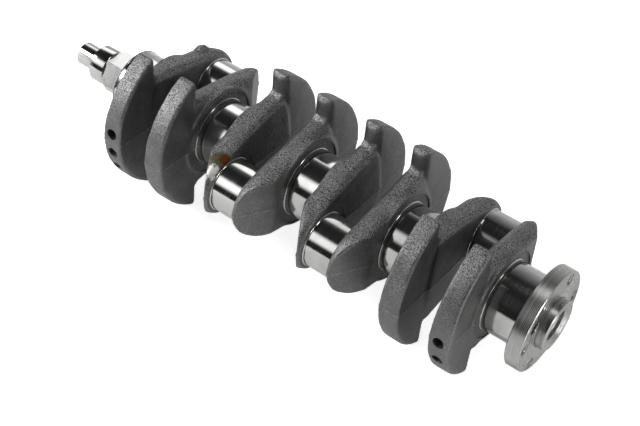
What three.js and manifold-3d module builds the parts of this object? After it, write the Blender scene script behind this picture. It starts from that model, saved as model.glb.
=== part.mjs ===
// Forged crankshaft of an inline four-cylinder engine, divided on its machined lines.
//
// Frame: +X runs from the snout to the flywheel flange, +Y points the way crankpins 1 and 4 are
// thrown, +Z is square to the plane of the throws. The origin lies on the crank axis, half way
// along the shaft. All sizes are in millimetres.

import * as THREE from 'three';
import { mergeVertices } from 'three/addons/utils/BufferGeometryUtils.js';
import Module from 'manifold-3d';

const wasm = await Module();
wasm.setup();

// ---- driving dimensions -------------------------------------------------------------------

const BORE_PITCH = 86;          // one cylinder bore to the next
const THROW = 40.75;            // crank radius: half of an 81.5 mm stroke
const WEB_THICKNESS = 18;
const PIN_WIDTH = 23.5;
const REAR_MAIN_WIDTH = 27.3;   // main journal 5; the others follow from the pitch
const MAIN_RADIUS = 27.5;
const PIN_RADIUS = 21.5;
const MAIN_COUNT = 5;

const FLANGE_RADIUS = 39.75;
const FLANGE_THICKNESS = 11.6;
const SPIGOT_RADIUS = 19.4;
const SPIGOT_LENGTH = 6.6;
const SPIGOT_RELIEF_DEPTH = 0.5;    // turned groove round the foot of the spigot
const SPIGOT_RELIEF_WIDTH = 0.8;
const PILOT_BORE_RADIUS = 12.25;
const BOLT_CIRCLE_RADIUS = 33.2;
const BOLT_COUNT = 6;
const BOLT_HOLE_RADIUS = 4.5;
const DOWEL_CIRCLE_RADIUS = 29.5;
const DOWEL_ANGLE = 30;         // degrees from -Y towards +Z, between two bolt holes

const DRIVE_LENGTH = 25;        // oil pump drive, next to main journal 1
const DRIVE_RADIUS = 17.3;
const DRIVE_LEAD_RADIUS = 15.1;
const DRIVE_LEAD_LENGTH = 4.5;
const DRIVE_FLAT_DISTANCE = 13.3;
const DRIVE_FLAT_ANGLES = [30, 90, 210, 270];
const SEAT_LENGTH = 14.1;       // timing gear seat
const SEAT_RADIUS = 15.05;
const TIP_LENGTH = 19.1;
const TIP_RADIUS = 9.5;

const BOSS_RADIUS = 27;         // cheek outline round the crankpin
const CHEEK_RADIUS = 36;        // cheek outline round the crank axis
const SIDE_HALF_WIDTH = 38.5;   // where the cheek side meets the horn
const RIM_RADIUS = 66;          // counterweight rim
const HORN_DEPTH = 22.5;        // underside of the horns, below the crank axis
const HORN_TIP_RADIUS = 5.5;
const HORN_FILLET = 5;
const COUNTERWEIGHT_THICKNESS = 15;
const EDGE_BEVEL = 2.2;
const PIN_END = THROW + BOSS_RADIUS;
const MAIN_SIDE_END = 45;       // the pin end slopes back to this height at the main journal
const SLOPE_START = 2;          // flat part of the pin end, next to the crankpin

const BALANCE_HOLE_RADIUS = 4.5;
const BALANCE_HOLE_DEPTH = 14;
const BALANCE_HOLES = {         // degrees from the middle of the rim, towards -Z
  web_1: [-7, 9, 24.5],
  web_8: [1, 18.5],
};

const OILWAY_RADIUS = 2.5;
const OILWAY_ANGLE = 50;        // degrees below the throw plane at both mouths
const OILWAYS = [[1, 1], [2, 2], [4, 3], [5, 4]];   // main journal and the crankpin it feeds

const GROOVE_DEPTH = 0.45;      // relief at each end of a journal
const GROOVE_WIDTH = 1.6;
const ROUND_SEGMENTS = 36;
const HOLE_SEGMENTS = 12;
const REACH = 90;               // cutters run this far past the part

// ---- stations along the axis --------------------------------------------------------------

const MAIN_WIDTH = BORE_PITCH - PIN_WIDTH - 2 * WEB_THICKNESS;
const SHAFT_LENGTH = (MAIN_COUNT - 1) * BORE_PITCH + REAR_MAIN_WIDTH
  + TIP_LENGTH + SEAT_LENGTH + DRIVE_LENGTH + FLANGE_THICKNESS + SPIGOT_LENGTH;
const TIP_START = -SHAFT_LENGTH / 2;
const SEAT_START = TIP_START + TIP_LENGTH;
const DRIVE_START = SEAT_START + SEAT_LENGTH;
const FIRST_MAIN_START = DRIVE_START + DRIVE_LENGTH;

const mainStart = (number) => FIRST_MAIN_START + (number - 1) * BORE_PITCH;
const pinStart = (number) => mainStart(number) + MAIN_WIDTH + WEB_THICKNESS;
const mainWidth = (number) => (number === MAIN_COUNT ? REAR_MAIN_WIDTH : MAIN_WIDTH);
const FLANGE_START = mainStart(MAIN_COUNT) + REAR_MAIN_WIDTH;
const FLANGE_FACE = FLANGE_START + FLANGE_THICKNESS;
const SPIGOT_START = FLANGE_FACE - SPIGOT_RELIEF_DEPTH;

// Crankpins 1 and 4 are thrown towards +Y, crankpins 2 and 3 towards -Y.
const throwSide = (pin) => (pin === 1 || pin === 4 ? 1 : -1);

// ---- materials ----------------------------------------------------------------------------

const finish = (color, roughness, metalness) =>
  () => new THREE.MeshStandardMaterial({ color, roughness, metalness });
const forgedSkin = finish(0x5c5c5d, 0.62, 0.75);
const groundSteel = finish(0xc9cacb, 0.12, 1.0);
const turnedSteel = finish(0xa9a9a8, 0.3, 1.0);

// ---- solids -------------------------------------------------------------------------------

// Turns a closed geometry, moved by a matrix, into a solid that can be cut and joined.
function solid(geometry, matrix = new THREE.Matrix4()) {
  const bare = geometry.clone().applyMatrix4(matrix);
  bare.deleteAttribute('normal');
  bare.deleteAttribute('uv');
  const merged = mergeVertices(bare, 1e-4);
  return new wasm.Manifold(new wasm.Mesh({
    numProp: 3,
    vertProperties: new Float32Array(merged.attributes.position.array),
    triVerts: new Uint32Array(merged.index.array),
  }));
}

// Gives the named mesh of a finished solid.
function piece(name, body, material) {
  const mesh = body.getMesh();
  const geometry = new THREE.BufferGeometry();
  geometry.setAttribute('position', new THREE.BufferAttribute(mesh.vertProperties, 3));
  geometry.setIndex(new THREE.BufferAttribute(mesh.triVerts, 1));
  const flat = geometry.toNonIndexed();
  flat.computeVertexNormals();
  const result = new THREE.Mesh(flat, material());
  result.name = name;
  return result;
}

// A round body about the X axis from a list of [x, radius] stations, on an axis at height y.
// A closed profile makes a ring; an open one is closed on the axis.
function turned(stations, y = 0, ring = false, segments = ROUND_SEGMENTS) {
  const points = stations.map(([x, radius]) => new THREE.Vector2(radius, x));
  if (ring) {
    points.push(points[0].clone());
  } else {
    points.unshift(new THREE.Vector2(0, stations[0][0]));
    points.push(new THREE.Vector2(0, stations[stations.length - 1][0]));
  }
  const lathe = new THREE.LatheGeometry(points, segments);
  const upright = new THREE.Matrix4().makeRotationZ(-Math.PI / 2);
  return solid(lathe, new THREE.Matrix4().makeTranslation(0, y, 0).multiply(upright));
}

// A straight round hole cutter between two points, with extra length at both ends.
function drill(from, to, radius, before = 0, after = 0) {
  const along = to.clone().sub(from).normalize();
  const start = from.clone().addScaledVector(along, -before);
  const end = to.clone().addScaledVector(along, after);
  const length = start.distanceTo(end);
  const turn = new THREE.Quaternion().setFromUnitVectors(new THREE.Vector3(0, 1, 0), along);
  const middle = start.clone().lerp(end, 0.5);
  const place = new THREE.Matrix4().compose(middle, turn, new THREE.Vector3(1, 1, 1));
  return solid(new THREE.CylinderGeometry(radius, radius, length, HOLE_SEGMENTS), place);
}

// A point at an angle in degrees from -Y towards +Z, at a radius from the crank axis.
function around(x, radius, degrees) {
  const angle = THREE.MathUtils.degToRad(degrees);
  return new THREE.Vector3(x, -radius * Math.cos(angle), radius * Math.sin(angle));
}

// ---- oilways ------------------------------------------------------------------------------

// Each oilway is one straight drilling from a main journal, through the web, to a crankpin.
const oilways = OILWAYS.map(([main, pin]) => {
  const side = throwSide(pin);
  const angle = THREE.MathUtils.degToRad(OILWAY_ANGLE);
  const across = Math.cos(angle);
  const down = -Math.sin(angle);
  const mainX = mainStart(main) + mainWidth(main) / 2;
  const pinX = pinStart(pin) + PIN_WIDTH / 2;
  const mouth = new THREE.Vector3(mainX, -side * MAIN_RADIUS * across, MAIN_RADIUS * down);
  const pinY = side * (THROW + PIN_RADIUS * across);
  const outlet = new THREE.Vector3(pinX, pinY, PIN_RADIUS * down);
  const web = pin * 2 - (main === pin ? 1 : 0);
  return { main, pin, web, cutter: drill(mouth, outlet, OILWAY_RADIUS, 8, 8) };
});

// ---- journals -----------------------------------------------------------------------------

// A ground journal with a relief at each end.
function journal(start, width, radius, y = 0) {
  const end = start + width;
  return turned([
    [start, radius - GROOVE_DEPTH], [start + GROOVE_WIDTH, radius],
    [end - GROOVE_WIDTH, radius], [end, radius - GROOVE_DEPTH],
  ], y);
}

function mainJournal(number) {
  let body = journal(mainStart(number), mainWidth(number), MAIN_RADIUS);
  for (const oilway of oilways.filter(({ main }) => main === number)) {
    body = body.subtract(oilway.cutter);
  }
  return piece(`main_journal_${number}`, body, groundSteel);
}

function crankpin(number) {
  let body = journal(pinStart(number), PIN_WIDTH, PIN_RADIUS, throwSide(number) * THROW);
  for (const oilway of oilways.filter(({ pin }) => pin === number)) {
    body = body.subtract(oilway.cutter);
  }
  return piece(`crankpin_${number}`, body, groundSteel);
}

// ---- webs ---------------------------------------------------------------------------------

// Outline of a web with its counterweight: x across, y towards the crankpin.
function webOutline() {
  const lean = Math.atan2(SIDE_HALF_WIDTH - BOSS_RADIUS, THROW + HORN_DEPTH);
  const tipY = -HORN_DEPTH - HORN_TIP_RADIUS;
  const tipX = Math.sqrt((RIM_RADIUS - HORN_TIP_RADIUS) ** 2 - tipY ** 2);
  const tipAngle = Math.atan2(-tipY, tipX);
  const shape = new THREE.Shape();
  shape.absarc(0, THROW, BOSS_RADIUS, lean, Math.PI - lean, false);
  shape.lineTo(-SIDE_HALF_WIDTH, -HORN_DEPTH + HORN_FILLET);
  shape.quadraticCurveTo(-SIDE_HALF_WIDTH, -HORN_DEPTH, -SIDE_HALF_WIDTH - HORN_FILLET, -HORN_DEPTH);
  shape.absarc(-tipX, tipY, HORN_TIP_RADIUS, Math.PI / 2, Math.PI + tipAngle, false);
  shape.absarc(0, 0, RIM_RADIUS, Math.PI + tipAngle, 1.5 * Math.PI, false);
  shape.absarc(0, 0, RIM_RADIUS, 1.5 * Math.PI, 2 * Math.PI - tipAngle, false);
  shape.absarc(tipX, tipY, HORN_TIP_RADIUS, -tipAngle, Math.PI / 2, false);
  shape.lineTo(SIDE_HALF_WIDTH + HORN_FILLET, -HORN_DEPTH);
  shape.quadraticCurveTo(SIDE_HALF_WIDTH, -HORN_DEPTH, SIDE_HALF_WIDTH, -HORN_DEPTH + HORN_FILLET);
  return shape;
}

// Outline of the cheek alone: two round bosses joined by their common tangents.
function cheekOutline() {
  const lean = Math.asin((CHEEK_RADIUS - BOSS_RADIUS) / THROW);
  const shape = new THREE.Shape();
  shape.absarc(0, THROW, BOSS_RADIUS, lean, Math.PI - lean, false);
  shape.absarc(0, 0, CHEEK_RADIUS, Math.PI - lean, 2 * Math.PI + lean, false);
  return shape;
}

// Side view of a web: x along the shaft from the crankpin face, y towards the crankpin.
function sideProfile() {
  const shape = new THREE.Shape();
  shape.moveTo(0, -REACH);
  shape.lineTo(WEB_THICKNESS, -REACH);
  shape.lineTo(WEB_THICKNESS, MAIN_SIDE_END);
  shape.lineTo(SLOPE_START, PIN_END);
  shape.lineTo(SLOPE_START, REACH);
  shape.lineTo(0, REACH);
  shape.closePath();
  return shape;
}

// Web 1 stands before crankpin 1, web 2 after it, and so on.
function web(number) {
  const pin = Math.ceil(number / 2);
  const before = number % 2 === 1;
  const side = throwSide(pin);
  const inset = (WEB_THICKNESS - COUNTERWEIGHT_THICKNESS) / 2;
  const full = new THREE.ExtrudeGeometry(webOutline(), {
    depth: COUNTERWEIGHT_THICKNESS - 2 * EDGE_BEVEL,
    curveSegments: 6,
    bevelThickness: EDGE_BEVEL,
    bevelSize: EDGE_BEVEL,
    bevelOffset: -EDGE_BEVEL,
    bevelSegments: 1,
  });
  full.translate(0, 0, inset + EDGE_BEVEL);
  const cheek = new THREE.ExtrudeGeometry(cheekOutline(), {
    depth: WEB_THICKNESS,
    curveSegments: 10,
    bevelEnabled: false,
  });
  const profile = new THREE.ExtrudeGeometry(sideProfile(), { depth: 2 * REACH, bevelEnabled: false });
  profile.translate(0, 0, -REACH);

  // The outlines lie in (across, towards pin) with depth growing away from the crankpin face.
  const away = before ? -1 : 1;
  const faceX = before ? pinStart(pin) : pinStart(pin) + PIN_WIDTH;
  const alongX = new THREE.Vector3(away, 0, 0);
  const toPin = new THREE.Vector3(0, side, 0);
  const across = new THREE.Vector3().crossVectors(toPin, alongX);
  const place = new THREE.Matrix4().makeBasis(across, toPin, alongX).setPosition(faceX, 0, 0);
  const profileAcross = new THREE.Vector3().crossVectors(alongX, toPin);
  const profilePlace = new THREE.Matrix4().makeBasis(alongX, toPin, profileAcross);
  profilePlace.setPosition(faceX, 0, 0);

  let body = solid(full, place).add(solid(cheek, place)).intersect(solid(profile, profilePlace));
  for (const oilway of oilways.filter((entry) => entry.web === number)) {
    body = body.subtract(oilway.cutter);
  }
  const middleX = faceX + away * WEB_THICKNESS / 2;
  for (const degrees of BALANCE_HOLES[`web_${number}`] ?? []) {
    const bottom = around(middleX, RIM_RADIUS - BALANCE_HOLE_DEPTH, -degrees);
    const mouth = around(middleX, RIM_RADIUS, -degrees);
    body = body.subtract(drill(bottom, mouth, BALANCE_HOLE_RADIUS, 0, 5));
  }
  return piece(`web_${number}`, body, forgedSkin);
}

// ---- flange and spigot --------------------------------------------------------------------

function flange() {
  const chamfer = 0.9;
  const reliefRadius = SPIGOT_RADIUS + SPIGOT_RELIEF_WIDTH;
  let body = turned([
    [FLANGE_START, PILOT_BORE_RADIUS], [FLANGE_START, FLANGE_RADIUS - chamfer],
    [FLANGE_START + chamfer, FLANGE_RADIUS], [FLANGE_FACE - chamfer, FLANGE_RADIUS],
    [FLANGE_FACE, FLANGE_RADIUS - chamfer], [FLANGE_FACE, reliefRadius],
    [SPIGOT_START, reliefRadius], [SPIGOT_START, PILOT_BORE_RADIUS],
  ], 0, true);
  const hole = (radius, degrees) => drill(
    around(FLANGE_START, radius, degrees), around(FLANGE_FACE, radius, degrees),
    BOLT_HOLE_RADIUS, 5, 5);
  for (let index = 0; index < BOLT_COUNT; index += 1) {
    body = body.subtract(hole(BOLT_CIRCLE_RADIUS, (360 / BOLT_COUNT) * index));
  }
  body = body.subtract(hole(DOWEL_CIRCLE_RADIUS, DOWEL_ANGLE));
  return piece('flywheel_flange', body, turnedSteel);
}

function spigot() {
  const end = FLANGE_FACE + SPIGOT_LENGTH;
  const chamfer = 1.1;
  return piece('flywheel_spigot', turned([
    [SPIGOT_START, PILOT_BORE_RADIUS], [SPIGOT_START, SPIGOT_RADIUS],
    [end - chamfer, SPIGOT_RADIUS], [end, SPIGOT_RADIUS - chamfer],
    [end, PILOT_BORE_RADIUS + chamfer], [end - chamfer, PILOT_BORE_RADIUS],
  ], 0, true), turnedSteel);
}

// ---- snout --------------------------------------------------------------------------------

function snoutTip() {
  const chamfer = 1.2;
  return piece('snout_tip', turned([
    [TIP_START, TIP_RADIUS - chamfer], [TIP_START + chamfer, TIP_RADIUS], [SEAT_START, TIP_RADIUS],
  ]), turnedSteel);
}

function gearSeat() {
  const chamfer = 0.8;
  return piece('timing_gear_seat', turned([
    [SEAT_START, SEAT_RADIUS - chamfer], [SEAT_START + chamfer, SEAT_RADIUS],
    [DRIVE_START, SEAT_RADIUS],
  ]), groundSteel);
}

// A round section with two pairs of flats that turn the oil pump's inner rotor.
function pumpDrive() {
  let body = turned([
    [DRIVE_START, DRIVE_LEAD_RADIUS], [DRIVE_START + DRIVE_LEAD_LENGTH, DRIVE_RADIUS],
    [FIRST_MAIN_START, DRIVE_RADIUS],
  ]);
  const block = new THREE.BoxGeometry(DRIVE_LENGTH + 10, REACH, 20);
  for (const degrees of DRIVE_FLAT_ANGLES) {
    const angle = THREE.MathUtils.degToRad(degrees);
    const outward = new THREE.Vector3(0, -Math.cos(angle), Math.sin(angle));
    const turn = new THREE.Quaternion().setFromUnitVectors(new THREE.Vector3(0, 0, 1), outward);
    const centre = outward.clone().multiplyScalar(DRIVE_FLAT_DISTANCE + 10);
    centre.x = DRIVE_START + DRIVE_LENGTH / 2;
    const place = new THREE.Matrix4().compose(centre, turn, new THREE.Vector3(1, 1, 1));
    body = body.subtract(solid(block, place));
  }
  return piece('oil_pump_drive', body, turnedSteel);
}

// ---- the crankshaft -----------------------------------------------------------------------

const crankshaft = new THREE.Group();
crankshaft.add(snoutTip(), gearSeat(), pumpDrive());
for (let number = 1; number <= MAIN_COUNT; number += 1) {
  crankshaft.add(mainJournal(number));
}
for (let number = 1; number < MAIN_COUNT; number += 1) {
  crankshaft.add(crankpin(number));
}
for (let number = 1; number <= 2 * (MAIN_COUNT - 1); number += 1) {
  crankshaft.add(web(number));
}
crankshaft.add(flange(), spigot());

export default crankshaft;
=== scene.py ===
"""Looks of a forged crankshaft for an inline four-cylinder engine.

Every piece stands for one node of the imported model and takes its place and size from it. The webs
are made as the real ones are: a soft-edged forging first, then the cuts of the machine tools.
"""

import logging
import math
from dataclasses import dataclass
from enum import Enum
from typing import Callable, Sequence

import bpy
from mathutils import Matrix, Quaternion, Vector


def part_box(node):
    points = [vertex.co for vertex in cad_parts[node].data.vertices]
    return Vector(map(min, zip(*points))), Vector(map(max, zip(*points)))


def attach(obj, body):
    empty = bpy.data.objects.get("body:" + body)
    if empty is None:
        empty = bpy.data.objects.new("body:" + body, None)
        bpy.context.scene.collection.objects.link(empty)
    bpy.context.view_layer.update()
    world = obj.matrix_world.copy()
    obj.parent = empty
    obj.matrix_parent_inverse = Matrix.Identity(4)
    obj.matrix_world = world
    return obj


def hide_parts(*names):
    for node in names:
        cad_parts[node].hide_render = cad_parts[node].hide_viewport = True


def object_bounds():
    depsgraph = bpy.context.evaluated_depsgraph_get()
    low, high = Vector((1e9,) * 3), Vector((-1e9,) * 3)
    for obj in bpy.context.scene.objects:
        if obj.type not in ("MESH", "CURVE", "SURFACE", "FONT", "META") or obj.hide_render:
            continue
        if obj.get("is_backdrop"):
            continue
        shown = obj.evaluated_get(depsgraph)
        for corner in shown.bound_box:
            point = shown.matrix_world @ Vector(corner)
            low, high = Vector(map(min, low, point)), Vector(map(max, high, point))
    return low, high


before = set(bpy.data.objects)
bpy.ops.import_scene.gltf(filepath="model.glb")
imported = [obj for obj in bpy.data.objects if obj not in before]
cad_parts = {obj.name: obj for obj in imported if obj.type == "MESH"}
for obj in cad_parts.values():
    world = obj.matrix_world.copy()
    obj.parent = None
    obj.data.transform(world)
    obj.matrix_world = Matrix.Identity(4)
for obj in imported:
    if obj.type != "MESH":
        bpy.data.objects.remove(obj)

LOG = logging.getLogger("crankshaft")
MM = 0.001
NEAR = 0.02 * MM
BODY = "root"
# Attribute of convex edges, which the skin paints pale: partly real rubbing, partly a painted
# highlight.
WEAR_AND_HIGHLIGHT = "wear_and_highlight"
PRESSED = "pressed"
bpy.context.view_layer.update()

Station = tuple[float, float]
Item = bpy.types.Object
Material = bpy.types.Material
Node = bpy.types.Node
Socket = bpy.types.NodeSocket
Tree = bpy.types.NodeTree


# ---------------------------------------------------------------------------- colours and nodes


def linear(colour: str) -> tuple[float, float, float, float]:
    """Turn an sRGB hex colour into linear light.

    Args:
        colour: The colour as "#rrggbb".

    Returns:
        Linear red, green, blue and an alpha of one.
    """
    channels = [int(colour[i : i + 2], 16) / 255 for i in (1, 3, 5)]
    red, green, blue = (
        c / 12.92 if c <= 0.04045 else ((c + 0.055) / 1.055) ** 2.4 for c in channels
    )
    return red, green, blue, 1.0


def add_node(tree: Tree, kind: str, inputs: dict | None = None, **settings: object) -> Node:
    """Add a shader node with its settings, values and links.

    Args:
        tree: The material's node tree.
        kind: The node's type name.
        inputs: Value or output socket for each input, by name or number.
        **settings: Properties of the node itself.

    Returns:
        The new node.
    """
    node = tree.nodes.new(kind)
    for name, value in settings.items():
        setattr(node, name, value)
    for key, value in (inputs or {}).items():
        if isinstance(value, Socket):
            tree.links.new(value, node.inputs[key])
        else:
            node.inputs[key].default_value = value
    return node


def new_material(name: str) -> tuple[Material, Tree]:
    """Make an empty node material and return it with its node tree."""
    material = bpy.data.materials.new(name)
    material.use_nodes = True
    material.node_tree.nodes.clear()
    return material, material.node_tree


def ramp(
    tree: Tree,
    value: Socket,
    reach: tuple[float, float] = (0.0, 1.0),
    result: tuple[object, float] = (0.0, 1.0),
    shape: str = "LINEAR",
) -> Socket:
    """Map a value from one range to another and hold it at both ends.

    Args:
        tree: The node tree.
        value: The value to map.
        reach: The values at which the result starts and ends.
        result: What the result starts and ends at.
        shape: The node's name for the curve between the two.

    Returns:
        The mapped value.
    """
    inputs = {
        "Value": value,
        "From Min": reach[0],
        "From Max": reach[1],
        "To Min": result[0],
        "To Max": result[1],
    }
    return add_node(tree, "ShaderNodeMapRange", inputs, interpolation_type=shape).outputs["Result"]


def noise(
    tree: Tree,
    place: Socket,
    width: float,
    detail: float,
    roughness: float = 0.5,
) -> Socket:
    """Give cloudy noise whose spots have about this width in metres."""
    inputs = {"Vector": place, "Scale": 1 / width, "Detail": detail, "Roughness": roughness}
    return add_node(tree, "ShaderNodeTexNoise", inputs).outputs["Fac"]


def calculate(tree: Tree, operation: str, *values: object) -> Socket:
    """Do one step of arithmetic on numbers and sockets."""
    inputs = dict(enumerate(values))
    return add_node(tree, "ShaderNodeMath", inputs, operation=operation).outputs[0]


def mix(tree: Tree, factor: Socket, first: object, second: object) -> Socket:
    """Mix two colours, each a socket or a value in linear light."""
    inputs = {"Factor": factor, 6: first, 7: second}
    return add_node(tree, "ShaderNodeMix", inputs, data_type="RGBA").outputs[2]


def close_material(tree: Tree, shader: Node) -> None:
    """Join a finished shader to the material's output."""
    add_node(tree, "ShaderNodeOutputMaterial", {"Surface": shader.outputs[0]})


def close_steel(
    tree: Tree,
    colour: Socket,
    roughness: Socket,
    height: Socket,
    relief: tuple[float, float],
    metallic: float = 1.0,
) -> None:
    """Join the parts of a steel finish to the material's output.

    Args:
        tree: The material's node tree.
        colour: The steel's colour.
        roughness: The steel's roughness.
        height: Height of the relief, from 0 to 1.
        relief: Strength of the relief, and its full height in metres.
        metallic: How metallic the steel is.
    """
    strength, rise = relief
    inputs = {"Strength": strength, "Distance": rise, "Height": height}
    bump = add_node(tree, "ShaderNodeBump", inputs).outputs["Normal"]
    inputs = {"Base Color": colour, "Metallic": metallic, "Roughness": roughness, "Normal": bump}
    close_material(tree, add_node(tree, "ShaderNodeBsdfPrincipled", inputs))


# ------------------------------------------------------------------------------------- finishes


@dataclass(frozen=True)
class StainOrGlare:
    """A patch laid over a forged surface: a stain of dried oil or rust, or a painted highlight of
    glare on the oil.

    Args:
        centre: Middle of the patch in metres.
        radius: How far it spreads in metres.
        colour: Its colour as sRGB hex.
        strength: How much of the steel it hides, from 0 to 1.
    """

    centre: tuple[float, float, float]
    radius: float
    colour: str
    strength: float


@dataclass(frozen=True)
class ForgedSkin:
    """Forged steel, scale blasted off with steel shot: matt and grey, with a coarse bright grain.

    The grain is coarsest where the die pressed square on the metal, and every convex edge is paler:
    partly real rubbing, partly a painted highlight.

    Args:
        name: Name of the material.
        dark: Colour in the pits of the blasted skin.
        light: Colour on the grains between the pits.
        worn_and_highlit: Colour of rubbed edges, partly a painted highlight on them, and of the
            trimmed flash.
        grain: Width of the blasted grain in metres, as coarse as it needs to show.
        mottle: Width of the broad cloudy patches in metres.
        flash: Half the width of the trimmed flash line in metres.
        roughness: Roughness of the clearest and of the cloudiest patches.
        relief: Strength and height in metres of the grain.
        metallic: How metallic the skin is; a little less than bare steel.
        stains_or_glare: Patches of dried oil on this piece, and painted highlights of glare on the
            oil.
    """

    name: str = "shot_blasted_forged_steel"
    dark: str = "#2a2a2a"
    light: str = "#a3a3a2"
    worn_and_highlit: str = "#d2d2d0"
    grain: float = 0.8 * MM
    mottle: float = 15 * MM
    flash: float = 0.55 * MM
    roughness: tuple[float, float] = (0.36, 0.58)
    relief: tuple[float, float] = (0.6, 0.6 * MM)
    metallic: float = 0.92
    stains_or_glare: tuple[StainOrGlare, ...] = ()

    def material(self) -> Material:
        """Build the node material."""
        material, tree = new_material(self.name)
        place = add_node(tree, "ShaderNodeTexCoord").outputs["Object"]
        pressed = add_node(tree, "ShaderNodeAttribute", attribute_name=PRESSED).outputs["Fac"]
        grain = noise(tree, place, self.grain, detail=2.0, roughness=0.6)
        mottle = noise(tree, place, self.mottle, detail=4.0, roughness=0.6)
        speckle = ramp(tree, grain, (0.36, 0.64), (-0.5, 0.5))
        patchy = ramp(tree, mottle, (0.35, 0.65), (0.6, 1.6))
        coarse = ramp(tree, pressed, result=(0.25, 1.0))
        contrast = calculate(tree, "MULTIPLY", patchy, coarse)
        cloud = ramp(tree, mottle, (0.3, 0.7), (0.4, 0.6))
        tone = calculate(tree, "MULTIPLY_ADD", speckle, contrast, cloud)
        colour = mix(tree, tone, linear(self.dark), linear(self.light))
        # Convex edges painted pale, partly real rubbing and partly a painted highlight; the flash
        # line pale as trimmed metal.
        colour = mix(tree, self._rubbed_and_highlit(tree, place), colour, linear(self.worn_and_highlit))
        for stain_or_glare in self.stains_or_glare:
            colour = self._stained_or_glared(tree, place, colour, stain_or_glare)
        depth = ramp(tree, pressed, result=(0.3, 1.3))
        height = calculate(tree, "MULTIPLY", grain, depth)
        roughness = ramp(tree, mottle, result=self.roughness)
        close_steel(tree, colour, roughness, height, self.relief, self.metallic)
        return material

    def _rubbed_and_highlit(self, tree: Tree, place: Socket) -> Socket:
        """Say how far the skin is painted pale: on its convex edges, for rubbing and as a painted
        highlight, and along the flash line.
        """
        # Painted highlight and rubbing: convex edges lighten towards the pale edge colour.
        wear_and_highlight = add_node(tree, "ShaderNodeAttribute", attribute_name=WEAR_AND_HIGHLIGHT).outputs["Fac"]
        edge = ramp(tree, wear_and_highlight, (0.54, 0.73), (0.0, 0.7))
        across = add_node(tree, "ShaderNodeSeparateXYZ", {0: place}).outputs[2]
        off_line = calculate(tree, "ABSOLUTE", across)
        patchy = noise(tree, place, 6 * MM, detail=1.0)
        rubbed = ramp(tree, patchy, (0.42, 0.62), (0.0, 0.5))
        line = ramp(tree, off_line, (0.0, self.flash), (rubbed, 0.0))
        return calculate(tree, "MAXIMUM", edge, line)

    def _stained_or_glared(
        self,
        tree: Tree,
        place: Socket,
        colour: Socket,
        stain_or_glare: StainOrGlare,
    ) -> Socket:
        """Lay one stain or painted glare with a ragged edge over a colour and return the new
        colour.
        """
        inputs = {0: place, 1: stain_or_glare.centre}
        measure = add_node(tree, "ShaderNodeVectorMath", inputs, operation="DISTANCE")
        ragged = noise(tree, place, stain_or_glare.radius / 2, detail=6.0, roughness=0.8)
        edge = calculate(
            tree, "MULTIPLY_ADD", ragged, -1.8 * stain_or_glare.radius, measure.outputs["Value"]
        )
        soft = 0.1 * stain_or_glare.radius
        cover = ramp(tree, edge, (-soft, soft), (stain_or_glare.strength, 0.0))
        return mix(tree, cover, colour, linear(stain_or_glare.colour))


@dataclass(frozen=True)
class GroundSteel:
    """Steel ground and lapped round an axis: a mirror with faint lines round the journal.

    Args:
        name: Name of the material.
        colour: Colour of the bare steel.
        film: Tint of the thin oil film that lies on it in places.
        line: Spacing of the grinding lines in metres, as coarse as it needs to show.
        run: How often the lines change along their length, per metre.
        roughness: Roughness between and on the lines.
    """

    name: str = "ground_lapped_steel"
    colour: str = "#cdcdcc"
    film: str = "#aaa9a2"
    line: float = 0.5 * MM
    run: float = 6.0
    roughness: tuple[float, float] = (0.07, 0.16)

    def material(self) -> Material:
        """Build the node material."""
        material, tree = new_material(self.name)
        place = add_node(tree, "ShaderNodeTexCoord").outputs["Object"]
        stretch = (1 / self.line, self.run, self.run)
        drawn = add_node(tree, "ShaderNodeMapping", {"Vector": place, "Scale": stretch})
        lines = noise(tree, drawn.outputs["Vector"], 1.0, detail=2.0)
        cloud = noise(tree, place, 22 * MM, detail=2.0)
        oiled = ramp(tree, cloud, (0.5, 0.72), (0.0, 0.7))
        colour = mix(tree, oiled, linear(self.colour), linear(self.film))
        roughness = ramp(tree, lines, (0.3, 0.7), self.roughness)
        close_steel(tree, colour, roughness, lines, (0.1, 0.01 * MM))
        return material


@dataclass(frozen=True)
class TurnedSteel:
    """Steel turned on a lathe about the crank axis: satin, with fine rings on every face.

    Args:
        name: Name of the material.
        colour: Colour of the bare steel.
        shade: Colour in the grooves of the tool marks.
        feed: Spacing of the tool marks in metres, as coarse as it needs to show.
        roughness: Roughness between and on the marks.
    """

    name: str = "fine_turned_steel"
    colour: str = "#c8c8c6"
    shade: str = "#adadaa"
    feed: float = 0.9 * MM
    roughness: tuple[float, float] = (0.24, 0.32)

    def material(self) -> Material:
        """Build the node material."""
        material, tree = new_material(self.name)
        place = add_node(tree, "ShaderNodeTexCoord").outputs["Object"]
        parts = add_node(tree, "ShaderNodeSeparateXYZ", {0: place}).outputs
        across = add_node(tree, "ShaderNodeCombineXYZ", {1: parts[1], 2: parts[2]}).outputs[0]
        length = add_node(tree, "ShaderNodeVectorMath", {0: across}, operation="LENGTH")
        turned = {0: parts[0], 1: length.outputs["Value"]}
        ring = add_node(tree, "ShaderNodeCombineXYZ", turned).outputs[0]
        marks = noise(tree, ring, self.feed, detail=2.0)
        cloud = noise(tree, place, 14 * MM, detail=3.0)
        tone = ramp(tree, calculate(tree, "MULTIPLY", marks, cloud), (0.15, 0.4))
        colour = mix(tree, tone, linear(self.shade), linear(self.colour))
        roughness = ramp(tree, marks, (0.3, 0.7), self.roughness)
        close_steel(tree, colour, roughness, marks, (0.05, 0.01 * MM))
        return material


# ------------------------------------------------------------------------------------ modelling


class Part(Enum):
    """Which elements of a mesh a selection picks."""

    VERTS = "VERT"
    EDGES = "EDGE"
    FACES = "FACE"


class Cut(Enum):
    """How one solid acts on another."""

    REMOVE = "DIFFERENCE"
    JOIN = "UNION"
    KEEP_COMMON = "INTERSECT"


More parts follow.
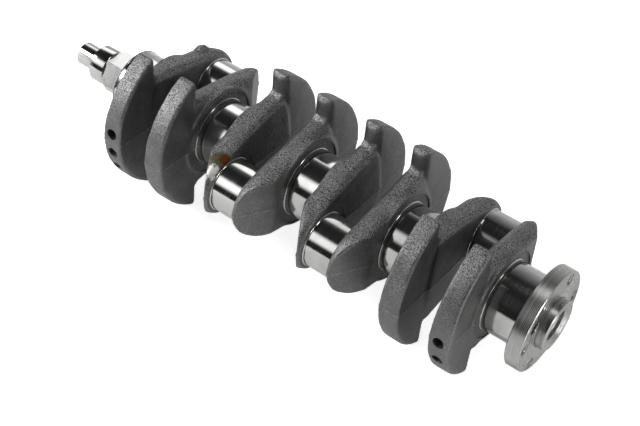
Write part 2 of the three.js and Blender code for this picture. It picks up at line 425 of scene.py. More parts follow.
def take(*objects: Item) -> None:
    """Select only these objects, in object mode, the first one active."""
    if bpy.context.mode != "OBJECT":
        bpy.ops.object.mode_set(mode="OBJECT")
    bpy.ops.object.select_all(action="DESELECT")
    for item in objects:
        item.select_set(True)
    if objects:
        bpy.context.view_layer.objects.active = objects[0]


def named(name: str) -> Item:
    """Name the object just added, settle its place into its mesh and return it."""
    item = bpy.context.active_object
    item.name = name
    item.data.name = name
    bpy.ops.object.transform_apply(location=True, rotation=True, scale=True)
    return item


def add_round(name: str, radius: float, start: Vector, end: Vector, sides: int = 96) -> Item:
    """Add a cylinder between the middles of its two ends.

    Args:
        name: Name of the object.
        radius: Radius in metres.
        start: Middle of one end.
        end: Middle of the other end.
        sides: Number of sides.

    Returns:
        The new object.
    """
    take()
    along = end - start
    bpy.ops.mesh.primitive_cylinder_add(
        vertices=sides,
        radius=radius,
        depth=along.length,
        location=(start + end) / 2,
        rotation=along.to_track_quat("Z", "Y").to_euler(),
    )
    return named(name)


def add_block(name: str, low: Vector, high: Vector) -> Item:
    """Add a block between its lowest and highest corner."""
    take()
    bpy.ops.mesh.primitive_cube_add(size=1, location=(low + high) / 2, scale=high - low)
    return named(name)


def pick(item: Item, part: Part, test: Callable[[Vector], bool]) -> None:
    """Enter edit mode with the elements selected whose every vertex passes a test.

    Args:
        item: The object to edit.
        part: The kind of element.
        test: Says whether a vertex position belongs to the selection.
    """
    take(item)
    bpy.ops.object.mode_set(mode="EDIT")
    bpy.ops.mesh.select_mode(type=part.value)
    bpy.ops.mesh.select_all(action="DESELECT")
    bpy.ops.object.mode_set(mode="OBJECT")
    mesh = item.data
    inside = [test(vertex.co) for vertex in mesh.vertices]
    if part is Part.VERTS:
        for vertex in mesh.vertices:
            vertex.select = inside[vertex.index]
    else:
        for element in mesh.edges if part is Part.EDGES else mesh.polygons:
            element.select = all(inside[index] for index in element.vertices)
    bpy.ops.object.mode_set(mode="EDIT")


def bisect(item: Item, point: Vector, normal: Vector, drop: bool) -> None:
    """Cut an object by a plane, and drop and close the side its normal points to if asked."""
    pick(item, Part.FACES, lambda _: True)
    bpy.ops.mesh.bisect(plane_co=point, plane_no=normal, clear_outer=drop, use_fill=drop)
    take(item)


def finish_with(item: Item, kind: str, **settings: object) -> None:
    """Add a modifier with its settings and apply it."""
    take(item)
    modifier = item.modifiers.new(kind.lower(), kind)
    for name, value in settings.items():
        setattr(modifier, name, value)
    bpy.ops.object.modifier_apply(modifier=modifier.name)


def cut(item: Item, tool: Item, how: Cut) -> None:
    """Cut or join an object with a tool solid, which is used up."""
    finish_with(item, "BOOLEAN", object=tool, operation=how.value, solver="MANIFOLD")
    bpy.data.meshes.remove(tool.data)


def turn_on_lathe(
    name: str, stations: Sequence[Station], height: float = 0.0, steps: int = 144
) -> Item:
    """Turn a solid about an axis along X from its half profile.

    Args:
        name: Name of the object.
        stations: Profile points as (x, radius) in metres, from the axis back to the axis, or a
            loop that ends where it starts.
        height: Y of the axis.
        steps: Number of steps round the axis.

    Returns:
        The new object.
    """
    take()
    bpy.ops.mesh.primitive_plane_add(size=MM)
    item = named(name)
    points = [Vector((x, height, radius)) for x, radius in stations]
    pick(item, Part.VERTS, lambda _: True)
    bpy.ops.mesh.merge(type="CENTER")
    bpy.ops.transform.translate(value=points[0])
    for before, after in zip(points, points[1:]):
        bpy.ops.mesh.extrude_vertices_move(TRANSFORM_OT_translate={"value": after - before})
    bpy.ops.mesh.select_all(action="SELECT")
    bpy.ops.mesh.spin(
        steps=steps, angle=2 * math.pi, center=(0, height, 0), axis=(1, 0, 0)
    )
    bpy.ops.mesh.select_all(action="SELECT")
    bpy.ops.mesh.remove_doubles(threshold=0.002 * MM)
    bpy.ops.mesh.normals_make_consistent(inside=False)
    take(item)
    return item


def arc(centre: Station, radius: float, first: float, last: float, steps: int = 5) -> list[Station]:
    """Give profile points on an arc.

    Args:
        centre: Middle of the arc as (x, radius).
        radius: Radius of the arc.
        first: Start angle in degrees, from +x towards larger radius.
        last: End angle in degrees.
        steps: Number of steps along the arc.

    Returns:
        The points in order.
    """
    angles = [math.radians(first + (last - first) * i / steps) for i in range(steps + 1)]
    return [(centre[0] + radius * math.cos(a), centre[1] + radius * math.sin(a)) for a in angles]


def on_axis(x: float) -> Vector:
    """Give the point of the crank axis at this x."""
    return Vector((x, 0, 0))


def around(x: float, radius: float, degrees: float) -> Vector:
    """Give the point at an angle from -Y towards +Z round the crank axis."""
    angle = math.radians(degrees)
    return Vector((x, -radius * math.cos(angle), radius * math.sin(angle)))


def drill(item: Item, mouth: Vector, inward: Vector, radius: float, depth: float) -> None:
    """Drill a blind hole with a twist drill's cone at its bottom.

    Args:
        item: The object to drill.
        mouth: Middle of the hole's mouth.
        inward: Direction into the material.
        radius: Radius of the hole.
        depth: Depth to the end of the full diameter.
    """
    direction = inward.normalized()
    bottom = mouth + direction * depth
    tool = add_round("drill", radius, mouth - direction * 4 * MM, bottom, sides=40)
    near = 0.01 * MM
    pick(tool, Part.VERTS, lambda co: abs((co - bottom).dot(direction)) < near)
    bpy.ops.mesh.inset(thickness=0.9 * radius)
    bpy.ops.transform.translate(value=direction * 0.5 * radius)
    take(tool)
    cut(item, tool, Cut.REMOVE)


def dress(
    item: Item,
    nodes: Sequence[str],
    materials: Sequence[Material],
    sharp: float = 32,
) -> None:
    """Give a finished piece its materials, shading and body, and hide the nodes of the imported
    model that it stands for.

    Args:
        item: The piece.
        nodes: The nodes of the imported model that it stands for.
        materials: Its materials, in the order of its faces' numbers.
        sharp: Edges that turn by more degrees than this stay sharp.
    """
    item.data.materials.clear()
    for material in materials:
        item.data.materials.append(material)
    take(item)
    bpy.ops.object.shade_smooth_by_angle(angle=math.radians(sharp))
    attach(item, BODY)
    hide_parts(*nodes)
    LOG.info("%s: %d faces", item.name, len(item.data.polygons))


def fill_faces(item: Item, number: int, test: Callable[[Vector], bool]) -> None:
    """Give the faces whose middles pass a test the material of that number."""
    for polygon in item.data.polygons:
        if test(polygon.center):
            polygon.material_index = number


# ----------------------------------------------------------------------------------- the pieces


@dataclass
class Journal:
    """A ground journal: a main bearing seat or a crankpin.

    Args:
        node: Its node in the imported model.
        fillet: Radius of the rolled fillet at both ends.
        undercut: How far the fillet dips below the journal.
        oil_mouth: Direction of the oilway's mouth from the journal's axis, or None.
        oil_radius: Radius of the oilway.
        oil_depth: How far the oilway is drilled.
        run_out: Length over which the fillet runs out into the journal.
    """

    node: str
    fillet: float = 0.8 * MM
    undercut: float = 0.2 * MM
    oil_mouth: Vector | None = None
    oil_radius: float = 2.5 * MM
    oil_depth: float = 9 * MM
    run_out: float = 0.25 * MM

    def build(self, steel: Material) -> Item:
        """Turn the journal, drill its oil mouth and dress it."""
        low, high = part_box(self.node)
        radius = (high.z - low.z) / 2
        height = (high.y + low.y) / 2
        floor = radius - self.undercut + self.fillet
        left = arc((low.x + self.fillet, floor), self.fillet, 180, 270)
        right = arc((high.x - self.fillet, floor), self.fillet, 270, 360)
        stations = [
            (low.x, 0.0),
            *left,
            (low.x + self.fillet + self.run_out, radius),
            (high.x - self.fillet - self.run_out, radius),
            *right,
            (high.x, 0.0),
        ]
        item = turn_on_lathe(f"{self.node}_ground", stations, height)
        if self.oil_mouth is not None:
            middle = Vector(((low.x + high.x) / 2, height, 0))
            mouth = middle + self.oil_mouth.normalized() * radius
            drill(item, mouth, middle - mouth, self.oil_radius, self.oil_depth)
        dress(item, [self.node], [steel])
        return item


@dataclass
class Web:
    """A forged web: the cheek beside a crankpin with its counterweight.

    Args:
        number: Its number, counted from the snout.
        face_radius: Radius of the facing cut round the main journal.
        balance: Angles in degrees, from the middle of the rim towards +Z, of balance drillings.
        flash_end: How far the trimmed flash stands up at the pin end.
        spot_radius: Radius of the spot face round the crankpin.
        hole_radius: Radius of a balance drilling.
        hole_depth: Depth of a balance drilling.
        rim_depth: How far the forged rim lies inside the node's box.
        tool_reach: Length of the facing cutters.
        lug: Middle of the lug left at the end of the strip on its +Z side, or None.
        lug_radius: Radius of the lug at its foot.
        lug_height: How far the lug stands up.
    """

    number: int
    face_radius: float = 34.7 * MM
    balance: tuple[float, ...] = ()
    flash_end: float = 0.3 * MM
    spot_radius: float = 27.2 * MM
    hole_radius: float = 4.5 * MM
    hole_depth: float = 12 * MM
    rim_depth: float = 1.75 * MM
    tool_reach: float = 9 * MM
    lug: Vector | None = None
    lug_radius: float = 7 * MM
    lug_height: float = 3.4 * MM

    @property
    def node(self) -> str:
        """The web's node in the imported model."""
        return f"web_{self.number}"

    @property
    def pin_axis(self) -> float:
        """Y of the axis of the crankpin beside the web."""
        low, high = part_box(f"crankpin_{(self.number + 1) // 2}")
        return (low.y + high.y) / 2

    def build(self, blank: Item, skin: Material, faced: Material, painted_hole_shade: Material) -> Item:
        """Copy the forged blank to its place, roughen it and machine it.

        Args:
            blank: The blank, with its crankpin face at x = 0 and the pin towards +Y.
            skin: Material of the forged skin.
            faced: Material of the machined faces.
            painted_hole_shade: Material inside the balance drillings, dark with painted shade.

        Returns:
            The finished web.
        """
        low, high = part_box(self.node)
        pin_y = self.pin_axis
        before_pin = self.number % 2 == 1
        away = -1 if before_pin else 1
        main_face, pin_face = (low.x, high.x) if before_pin else (high.x, low.x)
        take(blank)
        bpy.ops.object.duplicate()
        item = bpy.context.active_object
        item.scale = (away, math.copysign(1, pin_y), 1)
        item.location = (pin_face, 0, 0)
        item = named(f"{self.node}_forging")
        pick(item, Part.FACES, lambda _: True)
        bpy.ops.mesh.normals_make_consistent(inside=False)
        take(item)
        self._roughen(item)
        self._flash(item)
        if self.lug is not None:
            self._raise_lug(item, self.lug)

        reach = on_axis(away * self.tool_reach)
        on_main = on_axis(main_face)
        on_pin = Vector((pin_face, pin_y, 0))
        cut(item, add_round("facer", self.face_radius, on_main, on_main + reach), Cut.REMOVE)
        cut(item, add_round("spotter", self.spot_radius, on_pin, on_pin - reach), Cut.REMOVE)
        middle = (low.x + high.x) / 2
        rim = max(abs(low.y), abs(high.y)) - self.rim_depth
        for degrees in self.balance:
            mouth = around(middle, rim, degrees)
            drill(item, mouth, on_axis(middle) - mouth, self.hole_radius, self.hole_depth)
        for face in (main_face, pin_face):
            fill_faces(item, 1, lambda co, face=face: abs(co.x - face) < NEAR)
        # The faces inside the balance drillings get the dark steel of painted shade.
        for degrees in self.balance:
            self._number_drilled(item, around(0, 1, degrees), middle, rim)
        self._record_wear_and_highlight(item)
        dress(item, [self.node], [skin, faced, painted_hole_shade], sharp=38)
        return item

    def _roughen(self, item: Item) -> None:
        """Give the skin the slight waves and pits of a forging, by their width and depth."""
        for name, width, depth in (("waves", 17 * MM, 0.5 * MM), ("pits", 2.2 * MM, 0.22 * MM)):
            texture = bpy.data.textures.new(f"{name}_{self.number}", "CLOUDS")
            texture.noise_scale = width
            texture.noise_depth = 2
            finish_with(item, "DISPLACE", texture=texture, strength=depth, mid_level=0.5)

    def _flash(self, item: Item) -> None:
        """Raise the trimmed flash line where the two dies met, and more so over the pin end."""
        pin_end = 1.6 * self.pin_axis
        half_rise = self.flash_end / 2
        for half_width, start, rise in (
            (1.5 * MM, -math.inf, 0.08 * MM),
            (0.8 * MM, -math.inf, 0.18 * MM),
            (2.2 * MM, 1, half_rise),
            (1.4 * MM, 1, half_rise),
        ):
            pick(
                item,
                Part.VERTS,
                lambda co, wide=half_width, start=start: abs(co.z) < wide
                and co.y / pin_end > start,
            )
            bpy.ops.transform.shrink_fatten(value=rise)
        take(item)

    def _raise_lug(self, item: Item, centre: Vector) -> None:
        """Draw the skin up into a round lug, a little at a time."""
        rounds = 8
        for step in range(rounds):
            reach = self.lug_radius * (1 - 0.6 * step / rounds)
            pick(
                item,
                Part.VERTS,
                lambda co, reach=reach: co.z > 0 and (co - centre).xy.length < reach,
            )
            bpy.ops.transform.translate(value=(0, 0, self.lug_height / rounds))
        take(item)

    def _record_wear_and_highlight(self, item: Item) -> None:
        """Record on the mesh which edges are convex, to be painted pale for rubbing and as a
        painted highlight, and where the die pressed square on.
        """
        take(item)
        bpy.ops.geometry.color_attribute_add(name=WEAR_AND_HIGHLIGHT, domain="POINT", data_type="FLOAT_COLOR")
        bpy.ops.object.mode_set(mode="VERTEX_PAINT")
        bpy.ops.paint.vertex_color_dirt(blur_strength=0.6, blur_iterations=2, dirt_angle=0)
        take(item)
        pressed = item.data.attributes.new(PRESSED, "FLOAT", "POINT")
        values = [min(1.0, max(0.0, 1.6 * abs(v.normal.z) - 0.3)) for v in item.data.vertices]
        pressed.data.foreach_set("value", values)

    def _number_drilled(self, item: Item, out: Vector, middle: float, rim: float) -> None:
        """Mark the faces inside one balance drilling."""

        def inside(co: Vector) -> bool:
            arm = co - on_axis(middle)
            along = arm.dot(out)
            off_axis = (arm - out * along).length
            return off_axis < 1.01 * self.hole_radius and along < rim - 0.7 * MM

        fill_faces(item, 2, lambda co: inside(co) and co.dot(out) > rim - 2 * self.hole_depth)


@dataclass
class ForgedBlank:
    """The blank that all webs share, before machining.

    Its crankpin face lies at x = 0 and its main journal face at x = thickness. The pin is towards
    +Y and the dies parted on z = 0, so every face leans away from that plane.

    Args:
        thickness: Distance between the two machined faces.
        throw: Height of the crankpin's axis.
        proud: How far the forging stands out past each machined face.
        boss_radius: Radius of the pin end.
        cheek_radius: Radius of the cheek and the boss round the main journal.
        shoulder: Half the width of the cheek at the horns.
        side_slope: How far the cheek's sides slope in towards its faces.
        strip: Width of the flat strip along the middle of each side.
        rim_radius: Radius of the counterweight.
        horn_depth: Distance of the horns' flat tops below the main axis.
        horn_corner: Radius of a horn's corner.
        weight_thickness: Thickness of the counterweight on the parting plane.
        horn_thickness: Thickness of the counterweight at a horn's corner.
        cheek_draft: Draft of the cheek's faces in degrees.
        gusset: Size of the fillet between cheek and horn.
        cap_start: Height at which the pin end begins to slope back.
        overlap: How far solids run into each other where they join.
        voxel: Size of the mesh's cells.
        smoothing: Number of smoothing rounds, which set the radius of every edge.
        reach: Half the size of the blocks that shape the draft.
    """

    thickness: float
    throw: float
    proud: float = 1.2 * MM
    boss_radius: float = 27 * MM
    cheek_radius: float = 37 * MM
    shoulder: float = 41 * MM
    side_slope: float = 6.5 * MM
    strip: float = 8.5 * MM
    rim_radius: float = 66 * MM
    horn_depth: float = 22.5 * MM
    horn_corner: float = 8.5 * MM
    weight_thickness: float = 17 * MM
    horn_thickness: float = 15 * MM
    cheek_draft: float = 3.0
    gusset: float = 5 * MM
    cap_start: float = 37.5 * MM
    overlap: float = 2 * MM
    voxel: float = 0.9 * MM
    smoothing: int = 18
    reach: float = 75 * MM

    def build(self) -> Item:
        """Forge the blank: join its solids, then round every edge and corner."""
        blank = self._cheek()
        cut(blank, self._counterweight(), Cut.JOIN)
        cut(blank, self._main_boss(), Cut.JOIN)
        for side in (-1, 1):
            cut(blank, self._gusset(side), Cut.JOIN)
        finish_with(blank, "REMESH", mode="VOXEL", voxel_size=self.voxel)
        finish_with(blank, "SMOOTH", factor=0.5, iterations=self.smoothing)
        LOG.info("blank: %d faces", len(blank.data.polygons))
        return blank

    def _leaning_block(self, half: float, end_half: float) -> Item:
        """Add a block, thickest on the parting plane and thinner by draft at both ends.

        Args:
            half: Half its thickness on the parting plane.
            end_half: Half its thickness at the reach.

        Returns:
            The block.
        """
        middle = self.thickness / 2
        low = Vector((middle - half, -self.reach, -self.reach))
        high = Vector((middle + half, self.reach, self.reach))
        block = add_block("draft", low, high)
        bisect(block, Vector(), Vector((0, 0, 1)), drop=False)
        for side in (-1, 1):
            pick(block, Part.VERTS, lambda co, side=side: co.z * side > self.reach - MM)
            bpy.ops.transform.resize(
                value=(end_half / half, 1, 1), center_override=(middle, 0, 0)
            )
        take(block)
        return block

    def _cheek(self) -> Item:
        """Add the cheek, tapered by draft, its pin end sloped back on the journal's side."""
        low, high = -self.proud, self.thickness + self.proud
        middle = self.thickness / 2
        pin = Vector((0, self.throw, 0))
        top = -self.horn_depth + self.overlap
        layers = []
        for near, far, inset in (
            (low, high, self.side_slope),
            (middle - self.strip / 2, middle + self.strip / 2, 0.0),
        ):
            ends = on_axis(near), on_axis(far)
            end_radius = self.boss_radius - 0.45 * inset
            layers.append(add_round("boss", end_radius, ends[0] + pin, ends[1] + pin))
            layers.append(add_round("foot", self.cheek_radius - inset, *ends))
            wide = self.shoulder - inset
            foot = Vector((near, top - 2 * self.overlap, -wide))
            layers.append(add_block("bar", foot, Vector((far, top, wide))))
        take(*layers)
        bpy.ops.object.join()
        cheek = bpy.context.active_object
        pick(cheek, Part.VERTS, lambda _: True)
        bpy.ops.mesh.convex_hull()
        take(cheek)
        half = (high - low) / 2
        lean = math.tan(math.radians(self.cheek_draft)) * self.reach
        envelope = self._leaning_block(half, half - lean)
        run = high - self.overlap
        rise = self.throw + self.boss_radius - self.cap_start
        bisect(envelope, Vector((high, self.cap_start, 0)), Vector((rise, run, 0)), drop=True)
        cut(cheek, envelope, Cut.KEEP_COMMON)
        return cheek

    def _counterweight(self) -> Item:
        """Add the counterweight: part of a disc with two rounded horns."""
        middle = self.thickness / 2
        half = self.weight_thickness / 2
        ends = on_axis(middle - half), on_axis(middle + half)
        disc = add_round("counterweight", self.rim_radius, *ends, sides=180)
        bisect(disc, Vector((0, -self.horn_depth, 0)), Vector((0, 1, 0)), drop=True)
        near = 0.1 * MM
        wide = math.sqrt(self.rim_radius**2 - self.horn_depth**2) - MM
        pick(disc, Part.EDGES, lambda co: abs(co.y + self.horn_depth) < near and abs(co.z) > wide)
        bpy.ops.mesh.bevel(offset=self.horn_corner, segments=8, affect="EDGES")
        take(disc)
        slope = (self.weight_thickness - self.horn_thickness) / 2 / (self.rim_radius - 6 * MM)
        cut(disc, self._leaning_block(half, half - slope * self.reach), Cut.KEEP_COMMON)
        return disc

    def _gusset(self, side: int) -> Item:
        """Fill the corner between the cheek and one horn, for the die's fillet."""
        half = 0.4 * self.horn_thickness
        corner = Vector((self.thickness / 2, -self.horn_depth, side * (self.shoulder - 2.5 * MM)))
        along = on_axis(half)
        return add_round("gusset", self.gusset, corner - along, corner + along, sides=4)

    def _main_boss(self) -> Item:
        """Add the round boss that carries the facing cut round the main journal."""
        high = self.thickness + self.proud - 0.3 * MM
        return add_round("boss", self.cheek_radius, on_axis(self.thickness / 2), on_axis(high))


@dataclass
class Snout:
    """The front end: the tip, the timing gear's seat and the oil pump's drive.

    Args:
        tip_chamfer: Chamfer on the tip's end.
        tip_relief: Length of the relief at the tip's foot.
        tip_slope: Length of the slope down into that relief.
        centre_ring: Radius of the end face's first ring, which the lathe centre's hole cuts away.
        centre_radius: Radius of the lathe centre's hole.
        centre_depth: Depth of the lathe centre's hole.
        seat_chamfer: Chamfer on the gear seat.
        seat_relief: Length of the relief at the gear seat's foot.
        drive_radius: Radius of the pump drive where it is round.
        drive_lead: Radius at the small end of the pump drive's lead.
        lead_length: Length of the pump drive's lead.
        drive_relief: Length of the relief at the pump drive's foot.
        flat_distance: Distance of the pump drive's flats from the axis.
        flat_angles: Directions of the flats, in degrees from -Y towards +Z.
        groove: Depth of the relief at the foot of each seat.
    """

    tip_chamfer: float = 1.2 * MM
    tip_relief: float = 1.4 * MM
    tip_slope: float = 0.4 * MM
    centre_ring: float = 2.2 * MM
    centre_radius: float = 2.6 * MM
    centre_depth: float = 5 * MM
    seat_chamfer: float = 0.8 * MM
    seat_relief: float = 0.6 * MM
    drive_radius: float = 17.3 * MM
    drive_lead: float = 15.1 * MM
    lead_length: float = 4.5 * MM
    drive_relief: float = 1.5 * MM
    flat_distance: float = 13.3 * MM
    flat_angles: tuple[float, ...] = (30, 90, 210, 270)
    groove: float = 0.3 * MM

    def build(self, milled: Material, ground: Material) -> None:
        """Build and dress the three pieces of the snout."""
        self._tip(ground)
        self._seat(ground)
        self._drive(milled)

    def _tip(self, steel: Material) -> None:
        """Turn the tip, with a chamfered end and a relief at its foot."""
        low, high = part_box("snout_tip")
        radius = high.z
        foot = high.x - self.tip_relief
        stations = [
            (low.x, 0.0),
            (low.x, self.centre_ring),
            (low.x, radius - self.tip_chamfer),
            (low.x + self.tip_chamfer, radius),
            (foot, radius),
            (foot + self.tip_slope, radius - self.groove),
            (high.x, radius - self.groove),
            (high.x, 0.0),
        ]
        item = turn_on_lathe("snout_tip_ground", stations)
        drill(item, on_axis(low.x), on_axis(1), self.centre_radius, self.centre_depth)
        dress(item, ["snout_tip"], [steel])

    def _seat(self, steel: Material) -> None:
        """Turn the seat of the timing gear."""
        low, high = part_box("timing_gear_seat")
        radius, chamfer = high.z, self.seat_chamfer
        stations = [
            (low.x, 0.0),
            (low.x, radius - chamfer),
            (low.x + chamfer, radius),
            (high.x - self.seat_relief, radius),
            (high.x, radius - self.groove),
            (high.x, 0.0),
        ]
        item = turn_on_lathe("timing_gear_seat_ground", stations)
        dress(item, ["timing_gear_seat"], [steel])

    def _drive(self, steel: Material) -> None:
        """Turn the pump drive and mill its flats."""
        low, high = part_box("oil_pump_drive")
        stations = [
            (low.x, 0.0),
            (low.x, self.drive_lead),
            (low.x + self.lead_length, self.drive_radius),
            (high.x - self.drive_relief, self.drive_radius),
            (high.x, self.drive_radius - self.groove),
            (high.x, 0.0),
        ]
        item = turn_on_lathe("oil_pump_drive_milled", stations)
        for degrees in self.flat_angles:
            out = around(0, 1, degrees)
            wide, tall = 40 * MM, 12 * MM
            take()
            bpy.ops.mesh.primitive_cube_add(
                size=1,
                location=on_axis((low.x + high.x) / 2) + out * (self.flat_distance + tall / 2),
                scale=(wide, wide, tall),
                rotation=out.to_track_quat("Z", "X").to_euler(),
            )
            cut(item, named("mill"), Cut.REMOVE)
        finish_with(item, "BEVEL", width=0.3 * MM, segments=1, angle_limit=math.radians(25))
        dress(item, ["oil_pump_drive"], [steel], sharp=18)


@dataclass
class Rear:
    """The rear end: the flywheel's flange and its spigot with the pilot bore.

    Args:
        chamfer: Chamfer on the edges of the flange and the spigot.
        bolt_circle: Radius of the circle of bolt holes.
        bolt_count: Number of bolt holes.
        hole_radius: Radius of a bolt hole.
        hole_chamfer: Chamfer at the mouth of a bolt hole.
        thread_pitch: Spacing of the ridges of a thread.
        thread_depth: Depth of the ridges.
        dowel_circle: Distance of the dowel hole from the axis.
        dowel_angle: Direction of the dowel hole, in degrees from -Y towards +Z.
        relief: Gap between the spigot and the flange's face.
        bore_radius: Radius of the pilot bore.
        bore_mouth: Chamfer at the mouth of the pilot bore.
        bore_land: Height of the step inside the pilot bore.
        bore_depth: Depth of the pilot bore.
        inner_radius: Radius of the hole below the pilot bore.
    """

    chamfer: float = 0.7 * MM
    bolt_circle: float = 33.2 * MM
    bolt_count: int = 6
    hole_radius: float = 4.5 * MM
    hole_chamfer: float = 0.5 * MM
    thread_pitch: float = 1.25 * MM
    thread_depth: float = 0.6 * MM
    dowel_circle: float = 29.5 * MM
    dowel_angle: float = 30.0
    relief: float = 0.8 * MM
    bore_radius: float = 12.25 * MM
    bore_mouth: float = 2.6 * MM
    bore_land: float = 1.2 * MM
    bore_depth: float = 11 * MM
    inner_radius: float = 9.6 * MM

    def build(self, steel: Material, painted_hole_shade: Material) -> None:
        """Build and dress the flange and the spigot."""
        self._flange(steel, painted_hole_shade)
        self._spigot(steel)

    def _flange(self, steel: Material, painted_hole_shade: Material) -> None:
        """Turn the flange and drill its bolt holes and dowel hole."""
        low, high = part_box("flywheel_flange")
        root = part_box("flywheel_spigot")[0].x
        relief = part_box("flywheel_spigot")[1].z + self.relief
        radius, chamfer = high.z, self.chamfer
        loop = [
            (low.x, self.bore_radius),
            (low.x, radius - chamfer),
            (low.x + chamfer, radius),
            (high.x - chamfer, radius),
            (high.x, radius - chamfer),
            (high.x, relief),
            (root, relief),
            (root, self.bore_radius),
            (low.x, self.bore_radius),
        ]
        item = turn_on_lathe("flywheel_flange_turned", loop, steps=180)
        angles = [360 / self.bolt_count * index for index in range(self.bolt_count)]
        axes = [around(0, self.bolt_circle, degrees) for degrees in angles]
        for axis in axes:
            self._bolt_hole(item, low.x, high.x, axis)
            self._tap(item, low.x, high.x, axis)
        self._bolt_hole(item, low.x, high.x, around(0, self.dowel_circle, self.dowel_angle))
        root = self.hole_radius + self.thread_depth
        # The walls of the bolt holes get the dark steel of painted shade.
        for axis in axes:
            fill_faces(
                item,
                1,
                lambda co, axis=axis: (co - axis).yz.length < root
                and low.x + 5 * NEAR < co.x < high.x - self.hole_chamfer,
            )
        dress(item, ["flywheel_flange"], [steel, painted_hole_shade])

    def _bolt_hole(self, item: Item, start: float, end: float, axis: Vector) -> None:
        """Drill one hole through the flange and chamfer its mouth."""
        back, front = on_axis(start - MM) + axis, on_axis(end + MM) + axis
        cut(item, add_round("bit", self.hole_radius, back, front, sides=40), Cut.REMOVE)
        take()
        bpy.ops.mesh.primitive_cone_add(
            vertices=40,
            radius1=self.hole_radius - self.hole_chamfer,
            radius2=self.hole_radius + 1.5 * self.hole_chamfer,
            depth=2.5 * self.hole_chamfer,
            location=on_axis(end - 0.25 * self.hole_chamfer) + axis,
            rotation=(0, math.pi / 2, 0),
        )
        cut(item, named("countersink"), Cut.REMOVE)

    def _tap(self, item: Item, start: float, end: float, axis: Vector) -> None:
        """Cut the ridges of a thread into a bolt hole."""
        root = self.hole_radius + self.thread_depth
        stations = [(start - MM, 0.0)]
        count = math.ceil((end - start + 2 * MM) / self.thread_pitch)
        for turn in range(count):
            crest = start - MM + turn * self.thread_pitch
            stations.append((crest, self.hole_radius))
            stations.append((crest + self.thread_pitch / 2, root))
        stations.append((stations[-1][0] + self.thread_pitch / 2, 0.0))
        tap = turn_on_lathe("tap", stations, steps=32)
        tap.location = axis
        take(tap)
        bpy.ops.object.transform_apply(location=True)
        cut(item, tap, Cut.REMOVE)

    def _spigot(self, steel: Material) -> None:
        """Turn the spigot and its stepped pilot bore."""
        low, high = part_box("flywheel_spigot")
        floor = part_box("flywheel_flange")[0].x
        radius, bore, chamfer, mouth = high.z, self.bore_radius, self.chamfer, self.bore_mouth
        step, inner, land = high.x - self.bore_depth, self.inner_radius, self.bore_land
        loop = [
            (low.x, radius),
            (high.x - chamfer, radius),
            (high.x, radius - chamfer),
            (high.x, bore + mouth),
            (high.x - mouth, bore),
            (high.x - 2 * mouth, bore),
            (high.x - 2 * mouth - land, bore - land),
            (step, bore - land),
            (step, inner),
            (floor, inner),
            (floor, bore - 0.3 * MM),
            (low.x, bore - 0.3 * MM),
            (low.x, radius),
        ]
        loop.reverse()
        item = turn_on_lathe("flywheel_spigot_turned", loop)
        dress(item, ["flywheel_spigot"], [steel])


# ----------------------------------------------------------------------------------- the studio


@dataclass(frozen=True)
class SoftBox:
    """A lamp behind a diffusing cloth, bright in the middle and dim at its edges.

    Args:
        name: Name of the lamp.
        place: Its middle in metres.
        size: Its width and height in metres.
        radiance: How bright its middle looks, where 1 is white.
        edge: Part of its width over which it fades out.
    """

    name: str
    place: tuple[float, float, float]
    size: tuple[float, float]
    radiance: float
    edge: float = 0.36

    def hang(self) -> None:
        """Hang the lamp so that it faces the crank axis squarely."""
        place = Vector(self.place)
        data = bpy.data.lights.new(self.name, "AREA")
        data.shape = "RECTANGLE"
        data.size, data.size_y = self.size
        data.energy = self.radiance * math.pi * self.size[0] * self.size[1]
        data.use_nodes = True
        tree = data.node_tree
        tree.nodes.clear()
        across = add_node(tree, "ShaderNodeNewGeometry").outputs["Parametric"]
        parts = add_node(tree, "ShaderNodeSeparateXYZ", {0: across}).outputs
        fade = [self._fade(tree, parts[axis]) for axis in (0, 1)]
        glow = calculate(tree, "MULTIPLY", *fade)
        lamp_light = add_node(tree, "ShaderNodeEmission", {"Strength": glow})
        add_node(tree, "ShaderNodeOutputLight", {"Surface": lamp_light.outputs[0]})
        lamp = bpy.data.objects.new(self.name, data)
        lamp.location = place
        toward = Vector((0.0, -place.y, -place.z))
        lamp.rotation_euler = toward.to_track_quat("-Z", "Y").to_euler()
        bpy.context.scene.collection.objects.link(lamp)

    def _fade(self, tree: Tree, position: Socket) -> Socket:
        """Fade from 0 at both edges of the cloth to 1 inside."""
        to_edge = calculate(tree, "PINGPONG", position, 0.5)
        return ramp(tree, to_edge, (0.0, self.edge), shape="SMOOTHSTEP")


